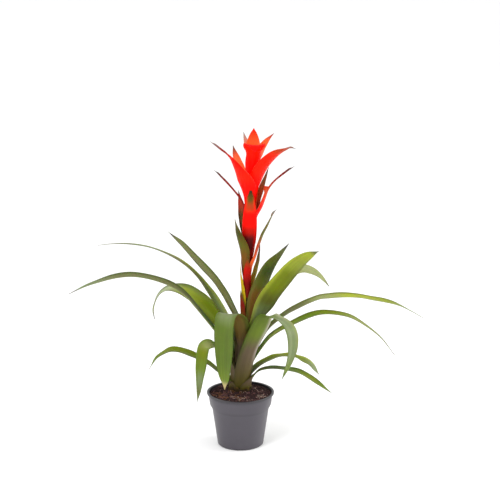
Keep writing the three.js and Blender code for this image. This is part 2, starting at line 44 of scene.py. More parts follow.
# Where the plant's own heights start. It leans to the right, about this point.
PLANT_FOOT = Vector((3.5, 12, 86.9))
PLANT_LEAN = math.radians(2.4)
CLEARANCE = 0.35

# The foot of the plant stands to the left of its flower stalk: it is moved by FOOT_SHIFT at the bottom, and
# not at all above the second height or outside the second reach.
FOOT_SHIFT = -5.5
BEND_HEIGHTS = (10, 140)
BEND_REACHES = (26, 70)
ROOT_X = PLANT_FOOT.x + FOOT_SHIFT

# Leaf sheaths are cones that stand ring inside ring round the stem. The outer ones open the most.
FIRST_RING_RADIUS = 19
FIRST_RING_HEIGHT = 15.2
RING_COUNT = 10
RING_RISE = 3.6
RING_THICKNESS = 0.7
RING_SLOPES = (0.1, 0.04)
WIDEST_WRAP = 75
SHEATH_FACETS = 6

# A sheath stands on its cone at the first of CONE_PLACES, shares of the height to the leaf's first point, and
# leaves it a little at the second. It narrows into the blade over the neck, whose share of the leaf's length
# is between NECK_SHARES.
CONE_PLACES = (0.4, 0.75)
CONE_LEAVING = 0.15
NECK_PER_SHEATH = 1.3
NECK_SHARES = (0.1, 0.45)
NECK_START = 0.02
LEAST_SHEATH = 0.4

# Bracts stand in cones round the flower stalk, one above the other.
STALK_RADIUS = 4.6
FIRST_BRACT_HEIGHT = 118
BRACT_SPACING = 13
BRACT_SLOPE = 0.1
BRACT_WRAP = 80
BRACT_FACETS = 4
BRACT_LEAVING = 0.45
BRACT_SEED = 100

# A blade has a groove down its middle and soft ruffles at its edges. Both grow with its half width.
HEADING_STEP = 0.006
OPENING_RUN = 0.2
WAVE_COUNTS = (3.5, 5.5)
WAVE_OFFSET = 1.4
RUFFLE_START = (0.2, 0.45)
RUFFLE_HALF_WIDTH = 6
GROOVE_WIDTH = 0.16
GROOVE_HALF_WIDTH = 4
TIP_HALF_WIDTH = 0.3
THREAD_RADIUS = 1.3
THREAD_WRAP = 150
THREAD_RUN = 0.08
THREAD_END = 0.93

# How a blade grows where its own row says nothing else. It is a grid of `along` by `across` faces, and
# swings between the places of `swings`. NEVER is a place past its tip.
NEVER = 9
LEAF_FORM = dict(
    along=96, across=16, thickness=0.6, bow=24, opens=NEVER, thread=NEVER, ruffle=0.5, groove=0.35,
    twist=0, roll=(0.35, 1), swing=0, swings=(0.08, 0.42), shape=(1, 1, 1, 0.97, 0.91, 0.78, 0.52, 0.02),
    mauve=(0.6, 1), upper="olive, leaf green, fresh green", under="olive brown, deep green, leaf green",
    margins=(), tip="olive grey, grey")
BRACT_FORM = dict(
    LEAF_FORM, along=72, across=12, thickness=0.5, wrap=BRACT_WRAP, ruffle=0.25, groove=0, swings=(0.4, 1),
    shape=(0.8, 0.88, 0.96, 1, 1, 0.94, 0.8, 0.58, 0.3, 0.02))
SCALE_FORM = dict(
    LEAF_FORM, along=14, across=8, thickness=0.5, wrap=40, ruffle=0.4, groove=0, shape=(1, 1, 0.95, 0.8, 0.3))

# Where along a leaf its paints end and those of its tip start, and where the paints of a blade's margins
# fade in and out. The margin paints are mostly a painted highlight on a lit edge and painted shade on a
# shaded one. Its very rim is a little darker, as painted shade.
PAINTS_END = 0.93
TIP_START = 0.975
MARGIN_START = (0.08, 0.3)
MARGIN_END = (0.82, 0.95)
MARGIN_ACROSS = (0.4, 0.95)
MARGIN_STRENGTH = 0.75
RIM_SHADE_ACROSS = (0.86, 1)
RIM_SHADE_TONE = 0.6
RIM_SHADE_STRENGTH = 0.25

# Paints, as red, green and blue out of 255
PAINTS = {
    "dark brown": (58, 44, 26),
    "mauve brown": (100, 84, 64),
    "warm brown": (98, 76, 34),
    "light brown": (122, 96, 46),
    "olive brown": (84, 76, 22),
    "olive": (88, 88, 28),
    "olive grey": (100, 100, 60),
    "pale olive": (134, 138, 84),
    "deep green": (60, 68, 24),
    "leaf green": (82, 98, 28),
    "fresh green": (98, 114, 32),
    "bright green": (104, 112, 10),
    "lime": (150, 156, 42),
    "yellow green": (134, 140, 44),
    # grey green and pale green are mostly painted sheen on the leaves
    "grey green": (114, 124, 84),
    "pale green": (156, 162, 124),
    # mauve white is a painted sheen on the rolled margin of leaf_front_right
    "mauve white": (206, 196, 184),
    "straw": (176, 160, 112),
    "grey": (128, 124, 118),
    "dark grey": (70, 64, 60),
    "red": (250, 10, 0),
    "hot red": (252, 28, 4),
    "deep red": (178, 20, 8),
    # dark red and wine stand for painted shade near the feet of overlapping bracts
    "dark red": (120, 14, 8),
    "wine": (74, 14, 16),
    "maroon": (132, 34, 26),
    "brick": (176, 60, 26),
    "orange": (240, 96, 44),
    # pale orange and pink are painted sheen on the red bracts
    "pale orange": (244, 148, 110),
    "pink": (244, 112, 88),
    "brown": (112, 74, 26),
    "orange brown": (150, 80, 26),
    "yellow": (186, 157, 25),
    "pot dark": (64, 60, 68),
    "pot light": (71, 67, 75),
    "black soil": (26, 17, 18),
    "brown soil": (70, 46, 46),
    "bark": (110, 74, 72),
    "fleck": (196, 176, 160),
    "rust": (112, 70, 48),
    "floor": (250, 250, 250),
    "floor light": (252, 252, 252),
}

# The pot, in millimetres: its outline as (radius, height) points, its drain holes and its notches
POT_STEPS = 144
BASE_RADIUS = 41
POT_OUTLINE = [
    (0, 0), (38.8, 0), (41, 2.2), (50.7, 68.3), (54.8, 75.8), (57.6, 95.4), (60, 95.4), (60, 97.6),
    (56.1, 97.6), (53.3, 75.8), (49.2, 68.3), (39.5, 1.8), (0, 1.8),
]
POT_SHARP_ANGLE = math.radians(50)
POT_BEVEL = 0.35
POT_BEVEL_ANGLE = math.radians(25)
DRAIN_COUNT = 6
DRAIN_RADIUS = 4
DRAIN_DEPTH = 12
DRAIN_RING = 25
NOTCH_COUNT = 4
NOTCH_WIDTH = 16
NOTCH_HEIGHT = 2.6
NOTCH_DEPTH = 6.6

# Painted shade on the pot: how bright it is painted at each height, darker at its foot, at the step and
# towards the lip, and how much darker inside, where its wall flares upwards from POT_BAND_RADIUS
POT_SHADE_TONES = [
    (0.5, 0.7), (3, 0.95), (40, 1), (67, 1), (69, 0.8), (73, 0.95), (76, 1), (90, 1), (94.5, 0.72), (97, 0.5),
]
POT_SHADE_SPAN = 0.1
POT_INSIDE_SHADE = 0.4
POT_BAND_FOOT = 75.8
POT_BAND_RADIUS = 54.05
POT_FLARE = 0.143

# The soil fills the pot, with a low mound round the plant. Each row of SOIL_CLODS is the size and the rise
# of some clods, and the level of their noise.
FLOOR_HEIGHT = 2.2
SOIL_WALL = [(39.1, 2.2), (48.8, 68.3), (52.9, 75.8)]
SOIL_RADIUS = 55.3
SOIL_EDGE_HEIGHT = 94.6
SOIL_STEPS = 120
SOIL_RINGS = 30
SOIL_SINK = 0.8
SOIL_CLODS = ((11, 1.6, 0), (4, 0.9, 40))
CLODS_END = (50, 55)
MOUND_RISE = 6
MOUND_TOP = 20
MOUND_FOOT = 38
PLANT_KEEP_OUT = 22

# Crumbs are dented balls, squeezed and tilted. Fibres are thin bent strands.
CRUMB_SHAPES = 6
CRUMB_DENT = 0.28
CRUMB_SQUEEZES = ((0.8, 1.5), (0.6, 1), (0.45, 0.9))
CRUMB_TILT = 0.5
CRUMB_LIFT = 0.12
CRUMB_EDGE = 2.5
FIBRE_KNOTS = 6
FIBRE_LIFTS = (0.7, 0.9)
FIBRE_BEND = 0.5
FIBRE_EDGE = 2

# Short dry scales, the feet of lost leaves, stand round the lowest sheaths.
SCALE_COUNT = 17
SCALE_SEED = 200
SCALE_RING = 20.5
SCALE_FOOT = 9
SCALE_WIDTH = (8, 15)
SCALE_TOP = (16, 22)
SCALE_BULGE = 0.4
SCALE_FLARE = (0.8, 2.2)
SCALE_STRAY = 0.3
SCALE_PAINTS = ("dark brown", "olive brown", "warm brown", "dark brown", "dark brown")

# The camera, in millimetres and degrees, and the lights, in metres and watts
CAMERA_PLACE = Vector((17, -2800, 1077.6))
CAMERA_TILT = 14.4
CAMERA_LENS = 119
CAMERA_SENSOR = 36
LIGHT_AIM = Vector((0, 0, 0.3))
LIGHT_SIZE = 1.2
LIGHTS = {"key": ((-1.1, -1.6, 2.1), 30), "side": ((2, 0.2, 0.9), 24)}
WORLD_STRENGTH = 1.05
FLOOR_SIZE = 20

# Leaves, from the outermost ring inwards. `turn` is the direction that a leaf grows in, in degrees, with 0
# to the right and 270 to the front, and it swings sideways by `swing` degrees on its way. Its sheath wraps
# `ring` by `wrap` degrees to either side. `line` is the middle of its upper face as (reach, height) in
# millimetres. `shape` is its width at even steps from neck to tip, as a share of `width`. Across, it follows
# an arc that opens with its reach, up to the radius `bow`, and in full after the place `opens`. It rolls over
# by `twist` degrees between the two places of `roll`. `upper` and `under` are the paints of its two faces
# from neck to tip, `margins` those of its two edges and `tip` those of its end. These paints hold painted
# light too: pale grey-green sheen where a face catches the light, and in `margins` mostly a lighter lit edge
# and a darker shaded edge. `mauve` is where the mauve of the sheath stands and where it has gone, as shares
# of the neck.
LEAVES = [
    dict(name="leaf_left_low", turn=175, ring=0, wrap=75, width=21, twist=-14, roll=(0.2, 0.6),
        upper="olive, bright green, bright green, fresh green", margins=("bright green", "deep green"),
        line=[(24, 26), (35, 36), (50, 46), (64, 55), (79, 62), (94, 69), (108, 74), (123, 76), (135, 75),
            (148, 67), (160, 56), (171, 36)]),
    dict(name="leaf_right_low", turn=345, ring=0, wrap=75, width=20, twist=10, roll=(0.4, 0.8),
        upper="olive, deep green, leaf green, bright green, fresh green",
        under="olive brown, leaf green, bright green", margins=("leaf green", "deep green"),
        line=[(23, 37), (32, 49), (47, 56), (67, 58.5), (85, 58.5), (103, 56), (122, 49), (141, 38),
            (163, 25)]),
    dict(name="leaf_right_twisted", turn=20, ring=2, wrap=56, width=20, twist=36, roll=(0.45, 0.9),
        shape=(1, 1, 1, 0.9, 0.84, 0.84, 0.74, 0.04), upper="olive, bright green, bright green, grey green",
        under="olive brown, fresh green, bright green", margins=("leaf green", "lime"),
        line=[(22, 44), (34, 55), (46, 62), (59, 67), (76, 69), (94, 67), (112, 59), (129, 49), (148, 27)]),
    dict(name="leaf_left_hanging", turn=203, ring=2, wrap=60, width=22, twist=-62, roll=(0.36, 0.58),
        shape=(0.74, 0.92, 1, 0.98, 0.96, 0.85, 0.6, 0.35, 0.02),
        upper="leaf green, olive, pale olive, bright green, fresh green, grey green, olive grey",
        under="olive, leaf green, grey green", margins=("fresh green", "leaf green"),
        line=[(22, 60), (31, 74), (45, 89), (58, 98), (70, 101), (77, 98), (80, 89), (82, 65), (84, 37),
            (85, 15), (87, -5)]),
    dict(name="leaf_right_drooping", turn=8, ring=3, wrap=48, width=24, twist=12, roll=(0.1, 0.5), swing=-18,
        shape=(0.9, 1, 1, 1, 0.92, 0.66, 0.44, 0.28, 0.12, 0.06),
        upper="yellow green, yellow green, fresh green, bright green, pale olive, olive grey",
        under="yellow green, pale olive, fresh green", margins=("olive grey", "olive"), tip="grey",
        line=[(21, 66), (31, 87), (45, 110), (62, 126), (79, 138), (97, 149), (114, 158), (132, 165),
            (149, 168), (167, 168), (185, 165), (203, 157), (240, 133), (268, 101)]),
    dict(name="leaf_back_low", turn=104, ring=1, wrap=46, width=24,
        line=[(22.5, 50), (36, 75), (58, 94), (88, 103), (120, 100), (150, 86), (176, 64)]),
    dict(name="leaf_right_long", turn=12, ring=4, wrap=62, width=22, twist=9, roll=(0.1, 0.5), swing=-12,
        shape=(0.75, 0.9, 1, 1, 1, 1, 0.92, 0.8, 0.68, 0.2, 0.04),
        upper="olive, olive, olive grey, pale olive, lime, yellow green, grey green",
        under="pale green, pale olive, fresh green", margins=("pale olive", "olive"),
        line=[(20, 70), (28, 97), (41, 125), (61, 146), (78, 160), (95, 170), (112, 179), (130, 187),
            (147, 190), (165, 192), (200, 192), (218, 190), (245, 186), (272, 179), (294, 169), (316, 157)]),
    dict(name="leaf_left_long", turn=185, ring=4, wrap=75, width=25, twist=-7, roll=(0.1, 0.5),
        shape=(1, 1, 1, 1, 1, 1, 0.95, 0.8, 0.5, 0.04),
        upper="olive, leaf green, olive grey, olive grey, olive grey, grey green",
        under="olive, leaf green, olive grey", margins=("deep green", "pale olive"), tip="grey",
        line=[(19, 62), (28, 82), (40, 101), (54, 119), (71, 140), (90, 163), (108, 183), (126, 197),
            (144, 206), (170, 214), (196, 218), (214, 218), (240, 214), (265, 206), (283, 199), (301, 190),
            (314, 183)]),
    dict(name="leaf_front_right", turn=285, ring=1, wrap=54, width=42, bow=40, swing=24, twist=-8,
        roll=(0.2, 0.42), shape=(0.84, 0.95, 0.95, 0.82, 0.7, 0.66, 0.64, 0.54, 0.34, 0.02),
        mauve=(1.05, 1.6), upper="olive, fresh green, grey green, grey green, grey green, fresh green",
        under="fresh green, leaf green, leaf green, grey green", tip="leaf green, grey",
        margins=("leaf green", "mauve white, mauve white, pale olive, deep green"),
        line=[(23.5, 72), (27.5, 92), (35.5, 117), (46, 143), (55, 160), (65, 165.5), (78, 164.5), (91, 165),
            (106, 163), (118, 157), (126, 145), (128.5, 122), (124.5, 101), (118, 83), (106, 60)]),
    dict(name="leaf_back_right", turn=90, ring=3, wrap=30, width=18,
        line=[(18.8, 62), (23.5, 84), (33, 104), (48, 117), (68, 122), (92, 119), (114, 110)]),
    dict(name="leaf_left_broad", turn=153, ring=5, wrap=52, width=41, twist=-24, roll=(0.15, 0.65),
        shape=(1, 1, 1, 1, 0.95, 0.8, 0.56, 0.44, 0.46, 0.1),
        upper="leaf green, bright green, bright green, yellow green, pale green, pale green",
        under="olive, deep green, leaf green, pale olive", tip="grey",
        margins=("bright green, yellow green, deep green, grey", "deep green, olive, olive, grey"),
        line=[(16.2, 74), (24.5, 91), (40, 107), (56, 123), (73, 140), (90, 155), (107, 164), (124, 172),
            (140, 175), (157, 173), (171, 165), (181, 153), (187, 139), (189, 124), (186, 110)]),
    dict(name="leaf_right_behind", turn=45, ring=5, wrap=52, width=21, twist=58, roll=(0.3, 0.85),
        shape=(1, 0.9, 0.85, 0.85, 0.85, 0.85, 0.8, 0.6, 0.1),
        upper="olive, leaf green, pale olive, pale olive", under="olive, deep green, leaf green",
        line=[(17.6, 92), (29, 126), (46, 155), (66, 180), (88, 199), (113, 210), (138, 213), (160, 207),
            (183, 196), (202, 182), (218, 166)]),
    dict(name="leaf_left_upper", turn=164, ring=6, wrap=60, width=38, swing=5,
        shape=(0.8, 1, 0.92, 0.66, 0.44, 0.3, 0.22, 0.18, 0.14, 0.02),
        upper="olive, fresh green, olive, olive grey, grey green, olive grey",
        under="olive, fresh green, olive, olive grey, olive grey",
        margins=("pale green, lime, olive grey", "olive"),
        line=[(16, 96), (25, 112), (41, 138), (54, 160), (68, 183), (88, 210), (113, 232), (140, 247),
            (178, 258), (220, 261), (250, 258), (275, 253)]),
    dict(name="leaf_front_broad", turn=237, ring=7, wrap=70, width=44, bow=150, opens=0.25, twist=8,
        roll=(0.2, 0.5), shape=(0.9, 0.98, 0.98, 1, 1, 0.98, 0.92, 0.76, 0.5, 0.02),
        upper="warm brown, olive grey, grey green, leaf green, leaf green, leaf green, fresh green",
        under="light brown, light brown, grey green, leaf green, leaf green",
        margins=("leaf green", "leaf green"), tip="straw",
        line=[(14.8, 104), (19.8, 127), (31, 150), (47, 162), (58, 165), (65, 161), (67.5, 150), (68, 129),
            (67, 101), (65, 73), (62, 48), (57.5, 25)]),
    dict(name="leaf_back_upper", turn=84, ring=7, wrap=62, width=24,
        line=[(15, 118), (27, 146), (44, 166), (68, 178), (96, 176), (120, 160)]),
    dict(name="leaf_right_broad", turn=318, ring=8, wrap=66, width=35, bow=50, twist=-42, roll=(0.25, 0.5),
        shape=(0.74, 0.82, 0.97, 1, 0.97, 0.94, 0.88, 0.74, 0.52, 0.02),
        upper="olive, leaf green, bright green",
        under="olive grey, grey green, olive, bright green, bright green, yellow green, lime",
        margins=("pale olive, yellow green, lime, lime", "deep green, deep green, olive, pale olive"),
        line=[(13, 110), (22.5, 136), (36.5, 165), (50, 191), (64.5, 211), (81, 232), (99, 253), (119, 274),
            (139, 289), (158, 299)]),
    dict(name="leaf_left_top", turn=158, ring=8, wrap=75, width=21, twist=-12, roll=(0.2, 0.7),
        upper="olive, olive, olive grey, olive grey, olive grey", under="olive, deep green, leaf green",
        margins=("deep green", "deep green"), tip="dark grey, grey",
        line=[(14, 130), (21.3, 147), (31, 163), (41, 180), (52, 194), (62, 205), (82, 223), (92, 232),
            (112, 249), (132, 266), (156, 282)]),
    dict(name="leaf_right_top", turn=335, ring=9, wrap=75, width=30, bow=32, twist=-42, roll=(0.35, 0.65),
        shape=(1, 1, 1, 0.97, 0.88, 0.74, 0.52, 0.26, 0.03), upper="olive, deep green, olive",
        under="brown, brown, olive, deep green, olive, olive grey", margins=("olive", "deep green"),
        tip="dark grey, grey",
        line=[(12.5, 138), (14.2, 160), (17, 180), (26, 207), (35, 231), (46, 253), (60, 271), (76, 292)]),
]

# Bracts, from the lowest up, with the same words. `thread` is where a bract has narrowed down to a thread
# with a curled section. `outer` and `inner` are the paints of its two faces, from foot to tip. Dark red and
# wine near the feet are painted shade where the bracts overlap, and pink and pale orange are painted sheen.
BRACTS = [
    dict(turn=215, width=17, outer="olive brown, brown, maroon, olive brown", inner="olive, olive, grey",
        line=[(9, 150), (11, 178), (12, 198)]),
    dict(turn=80, width=17, outer="warm brown, olive, olive, grey", inner="olive, olive, grey",
        line=[(9, 162), (11, 190), (12.5, 212)]),
    dict(turn=330, width=16, outer="warm brown, olive brown, orange brown, dark grey",
        inner="olive, olive, grey", line=[(9.8, 175), (13.5, 205), (16, 221)]),
    dict(turn=186, width=21, outer="olive brown, yellow, yellow, straw", inner="olive, yellow, straw",
        line=[(10.5, 203), (12.5, 221), (13.2, 233), (14, 247)]),
    dict(turn=20, width=20, outer="warm brown, orange brown, yellow green, lime, olive",
        inner="olive, yellow green, dark brown",
        line=[(10, 205), (16, 230), (19.5, 254), (20, 268), (20.5, 282)]),
    dict(turn=264, width=15, outer="maroon, dark red, deep red, olive brown", inner="maroon, maroon, grey",
        line=[(10, 215), (12.5, 240), (15, 262)]),
    dict(turn=120, width=20, outer="orange brown, brick, olive, grey", inner="brick, brick, olive, grey",
        line=[(11, 235), (15, 262), (19, 286)]),
    dict(turn=215, wrap=64, width=33, shape=(0.8, 0.9, 1, 1, 1, 1, 0.95, 0.8, 0.5, 0.2, 0.03),
        outer="brick, brown, brown, olive, deep green, olive grey", inner="brick, brown, olive, dark grey",
        margins=("olive", "olive brown"),
        line=[(11.5, 250), (15.5, 271), (21, 289), (25.5, 306), (29.5, 319), (32, 328)]),
    dict(turn=345, width=24, thread=0.9, twist=-12, roll=(0.2, 0.6),
        shape=(0.9, 0.9, 0.8, 0.68, 0.62, 0.58, 0.5, 0.38, 0.2, 0.02),
        outer="deep red, orange, brick, olive, olive, grey", inner="red, orange, olive brown, grey",
        line=[(13, 258), (18, 280), (23, 297), (30, 314), (37, 330), (46.5, 348)]),
    dict(turn=90, width=24, outer="brick, red, red, olive brown", inner="red, orange, orange, olive brown",
        line=[(13, 275), (18, 305), (25, 328), (34, 345)]),
    dict(turn=267, width=30, shape=(0.8, 0.9, 1, 1, 1, 0.95, 0.85, 0.68, 0.44, 0.12),
        outer="dark red, dark red, wine, wine, deep red, red, red, brick, olive brown, dark brown",
        inner="red, red, olive brown", margins=("red", "red"),
        line=[(12.5, 285), (16, 320), (18, 345), (20, 380)]),
    dict(turn=140, width=27, outer="deep red, olive brown, olive brown, dark grey",
        inner="deep red, olive brown, olive brown, olive brown, brick, dark grey",
        line=[(12.5, 294), (18, 316), (21.5, 337), (24.5, 355), (29, 371)]),
    dict(turn=185, width=27, thread=0.5, outer="dark red, hot red, maroon, maroon, maroon, dark grey",
        inner="red, pink, maroon, maroon, dark grey, dark grey",
        line=[(11.5, 330), (15.5, 354), (24.5, 367), (34, 378), (44.5, 389), (55.5, 400), (66, 411)]),
    dict(turn=356, width=33, thread=0.64, shape=(0.62, 0.68, 0.76, 0.94, 1, 0.94, 0.8, 0.58, 0.3, 0.02),
        outer="dark red, red, red, brick, maroon, dark grey",
        inner="red, pink, pink, orange, maroon, dark grey",
        line=[(12, 330), (20, 347), (26, 366), (30, 379), (35.5, 388.5), (43.5, 398), (56, 409),
            (72.5, 423)]),
    dict(turn=44, width=16, outer="red, red, brick, orange brown, dark grey",
        inner="red, red, brick, orange brown, olive grey, dark grey",
        line=[(11.5, 335), (16, 353), (22.5, 371), (29, 387), (35, 401), (40, 413)]),
    dict(turn=88, width=24, outer="deep red, red, red, grey", inner="red, orange, orange, grey",
        line=[(12, 345), (17, 368), (28, 388), (42, 402), (56, 412)]),
    dict(turn=240, wrap=74, width=40, swing=-24, thread=0.82,
        shape=(0.7, 0.85, 0.95, 1, 0.97, 0.8, 0.54, 0.32, 0.18, 0.06, 0.02),
        outer="dark red, red, red, hot red, red, maroon, grey", inner="red, red, pink, orange, grey",
        line=[(9.8, 350), (13, 366), (23, 388), (35.5, 409), (44, 424), (52, 437), (59, 445), (69, 452),
            (80, 461), (91, 470)]),
    dict(turn=312, width=38, swing=12, thread=0.93, twist=-16, roll=(0.4, 0.8),
        shape=(0.7, 0.85, 0.95, 1, 1, 0.98, 0.9, 0.76, 0.54, 0.22, 0.02),
        outer="dark red, red, red, hot red, hot red, brick, grey",
        inner="red, pink, pink, orange, dark grey",
        line=[(8.2, 355), (11.5, 379), (18.5, 399), (27, 417), (37, 432), (48.5, 445), (59, 454), (70, 460),
            (79.5, 463), (89, 463)]),
    dict(turn=142, width=31, shape=(0.8, 0.9, 1, 1, 1, 0.95, 0.85, 0.65, 0.35, 0.03),
        outer="deep red, red, red, orange, dark brown", inner="red, pink, orange, orange, dark brown",
        line=[(10.2, 366), (16, 379), (24.5, 396), (31, 411), (36, 425), (40, 437), (44, 449)]),
    dict(turn=275, width=43, opens=0.62, bow=50, shape=(0.8, 0.9, 1, 1, 0.92, 0.76, 0.66, 0.9, 0.75, 0.03),
        outer="red, red, red, hot red, red", inner="red",
        line=[(11, 405), (14, 435), (18, 454), (24, 461), (32, 460), (39, 452)]),
    dict(turn=42, width=26, outer="red, red, red, maroon", inner="red, orange, pale orange, orange, maroon",
        line=[(9.3, 418), (15.5, 437), (22.5, 451), (31, 461), (40, 468), (47.5, 473)]),
    dict(turn=140, width=24, outer="red, hot red, pink, grey", inner="red, orange, pale orange, grey",
        line=[(9, 430), (13.5, 449), (18, 463), (23, 476)]),
    dict(turn=90, width=28, opens=0.5, shape=(0.8, 0.88, 0.96, 1, 1, 0.96, 0.86, 0.68, 0.4, 0.02),
        outer="red, red, hot red, orange", inner="red, orange, orange, hot red",
        line=[(6, 430), (8, 450), (9, 466), (8, 484)]),
]


def mix(low, high, share):
    return low + (high - low) * share


def ease(low, high, value):
    """Rises smoothly from 0 at low to 1 at high."""
    share = min(max((value - low) / (high - low), 0), 1)
    return share * share * (3 - 2 * share)


def stepped(values, share):
    """The value at a share of the way through even steps, along a smooth curve."""
    place = min(max(share, 0), 1) * (len(values) - 1)
    first = min(int(place), len(values) - 2)
    t = place - first
    before = values[max(first - 1, 0)]
    start = values[first]
    end = values[first + 1]
    after = values[min(first + 2, len(values) - 1)]
    bend = 2 * before - 5 * start + 4 * end - after
    twirl = 3 * start - before - 3 * end + after
    return start + (end - before) * t / 2 + bend * t**2 / 2 + twirl * t**3 / 2


def paint(name):
    """A named paint as linear red, green and blue."""
    return Vector([((c / 255 + 0.055) / 1.055) ** 2.4 for c in PAINTS[name]])


def evenly(paints, low=0, high=1):
    """(place, paint name) stops at even steps from low to high, for paint names with commas between them."""
    names = paints.split(", ")
    steps = max(len(names) - 1, 1)
    return [(mix(low, high, i / steps), name) for i, name in enumerate(names)]


def painted(stops, share):
    """The colour at a share of the way through (place, paint name) stops."""
    for (low, first), (high, second) in zip(stops, stops[1:]):
        if share <= high:
            return paint(first).lerp(paint(second), ease(low, high, share))
    return paint(stops[-1][1])


def edged(stops, margins):
    """A paint for a blade: stops along it, and its two margins in their own paints, mostly a painted
    highlight on a lit edge and painted shade on a shaded one, with painted shade along the very rim.
    """
    edges = [evenly(paints) for paints in margins]

    def at(share, side):
        colour = painted(stops, share)
        if edges:
            edge = painted(edges[0 if side < 0 else 1], share)
            fade = ease(*MARGIN_START, share) * (1 - ease(*MARGIN_END, share))
            colour = colour.lerp(edge, ease(*MARGIN_ACROSS, abs(side)) * MARGIN_STRENGTH * fade)
        # painted shade along the very rim
        return colour.lerp(colour * RIM_SHADE_TONE, ease(*RIM_SHADE_ACROSS, abs(side)) * RIM_SHADE_STRENGTH)
    return at


def sagitta(radius, facet_degrees):
    """How far the middle of a facet lies inside the arc that its ends are on."""
    return radius * (1 - math.cos(math.radians(facet_degrees) / 2))


def knot_step(first, second):
    return max((second - first).length, 1e-6) ** 0.5


def smooth_line(knots, steps=16):
    """Points along a smooth curve through (reach, height) knots."""
    points = [Vector(k) for k in knots]
    points = [points[0] * 2 - points[1]] + points + [points[-1] * 2 - points[-2]]
    line = []
    for before, start, end, after in zip(points, points[1:], points[2:], points[3:]):
        lead = knot_step(before, start)
        span = knot_step(start, end)
        trail = knot_step(end, after)
        leave = ((start - before) / lead - (end - before) / (lead + span) + (end - start) / span) * span
        arrive = ((end - start) / span - (after - start) / (span + trail) + (after - end) / trail) * span
        for i in range(steps):
            t = i / steps
            curve = (2 * start - 2 * end + leave + arrive) * t**3
            curve += (3 * end - 3 * start - 2 * leave - arrive) * t**2
            line.append(curve + leave * t + start)
    line.append(points[-2])
    return line


def measured(line, least):
    """The line's points kept `least(height)` from the axis, each with its share of the whole length."""
    points = [Vector((max(p.x, least(p.y)), p.y)) for p in line]
    lengths = [0]
    for first, second in zip(points, points[1:]):
        lengths.append(lengths[-1] + (second - first).length)
    return points, [length / lengths[-1] for length in lengths], lengths[-1]


def place_on(points, shares, share):
    """The point at a share of the line's length."""
    for i in range(1, len(shares)):
        if shares[i] >= share:
            span = shares[i] - shares[i - 1]
            return points[i - 1].lerp(points[i], (share - shares[i - 1]) / span if span else 0)
    return points[-1]


def moved(bm, offset):
    bmesh.ops.translate(bm, verts=bm.verts, vec=offset)


def turned(bm, angle, axis):
    bmesh.ops.rotate(bm, verts=bm.verts, cent=(0, 0, 0), matrix=Matrix.Rotation(angle, 3, axis))


def in_metres(bm):
    bmesh.ops.scale(bm, verts=bm.verts, vec=(MM, MM, MM))


def planted(bm, turn):
    """Turns a blade out of the upright plane that it was made in, and sets it on the plant."""
    turned(bm, math.radians(turn), "Z")
    for vert in bm.verts:
        low = 1 - ease(*BEND_HEIGHTS, vert.co.z)
        near = 1 - ease(*BEND_REACHES, math.hypot(vert.co.x, vert.co.y))
        vert.co.x += FOOT_SHIFT * low * near
    turned(bm, PLANT_LEAN, "Y")
    moved(bm, PLANT_FOOT)
    in_metres(bm)


def placed(name, data):
    """A new object in the scene."""
    made = bpy.data.objects.new(name, data)
    bpy.context.scene.collection.objects.link(made)
    return made


def finished(name, bm, finishes, smooth=True):
    for face in bm.faces:
        face.smooth = smooth
    mesh = bpy.data.meshes.new(name)
    bm.to_mesh(mesh)
    bm.free()
    for finish in finishes:
        mesh.materials.append(finish)
    return placed(name, mesh)


